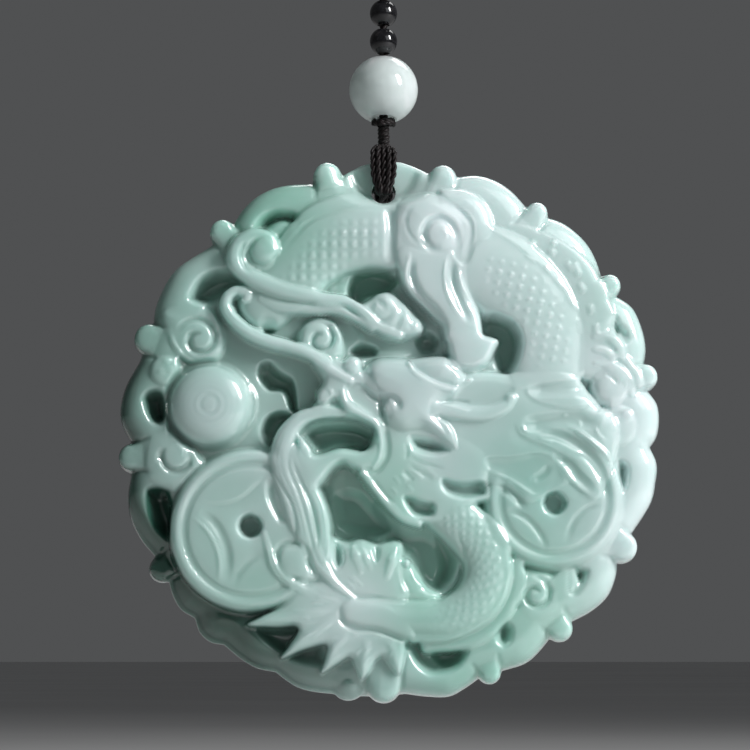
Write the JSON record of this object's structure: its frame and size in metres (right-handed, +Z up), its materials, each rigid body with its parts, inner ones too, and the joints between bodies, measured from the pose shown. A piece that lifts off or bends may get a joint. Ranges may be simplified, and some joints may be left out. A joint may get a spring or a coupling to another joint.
{
  "type": "jade dragon pendant necklace",
  "caption": "Round carved green jade pendant with a dragon, coins and clouds, tied with brown cord under a jade bead to a loop of small black beads.",
  "frame": {"origin": "top of the necklace loop, on the inner side of its beads, where it lies over what holds it", "axes": "+Z up from the pendant to the top of the loop, the pendant's carved face looks along -Y"},
  "size_m": [0.113, 0.0104, 0.3551],
  "materials": {
    "jade": "polished, translucent",
    "jade_bead": "polished, translucent",
    "black_bead": "polished",
    "brown_cord": "plied cord",
    "thread": "plain thread"
  },
  "bodies": {
    "necklace": {"hanging_cord": "brown_cord", "jade_bead": "jade_bead", "bead_string": "black_bead", "string_thread": "thread", "drop_bead_1": "black_bead", "drop_bead_2": "black_bead", "drop_bead_3": "black_bead", "drop_bead_4": "black_bead"},
    "pendant": {"jade_pendant": "jade"}
  },
  "joints": [
    {"name": "pendant_swing", "type": "hinge", "parent": "necklace", "child": "pendant", "pos_m": [0, 0, -0.29724], "axis": [0, 1, 0], "range_deg": [-25, 25]}
  ]
}
